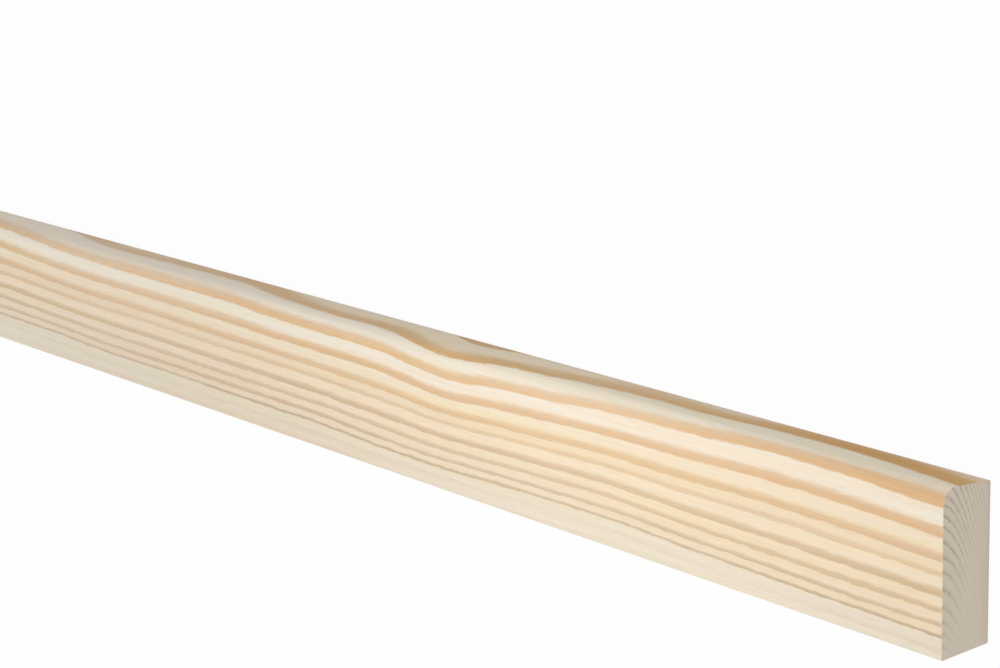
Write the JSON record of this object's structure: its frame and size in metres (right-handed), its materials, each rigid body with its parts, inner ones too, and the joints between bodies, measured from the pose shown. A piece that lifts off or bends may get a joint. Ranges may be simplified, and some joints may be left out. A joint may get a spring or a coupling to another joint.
{
  "type": "wood trim strip",
  "caption": "Planed softwood strip with one rounded long edge and square-sawn ends, fixed flat over a joint or along an edge to trim it.",
  "frame": {"origin": "midway along the strip, under the middle of its width, on the plane of the flat back that it lies on", "axes": "+X along the strip, +Z out of the show face, -Y towards the rounded long edge"},
  "size_m": [2.1, 0.045, 0.018],
  "materials": {
    "pine": "planed, unfinished"
  },
  "bodies": {
    "root": {"trim_strip": "pine"}
  },
  "joints": []
}
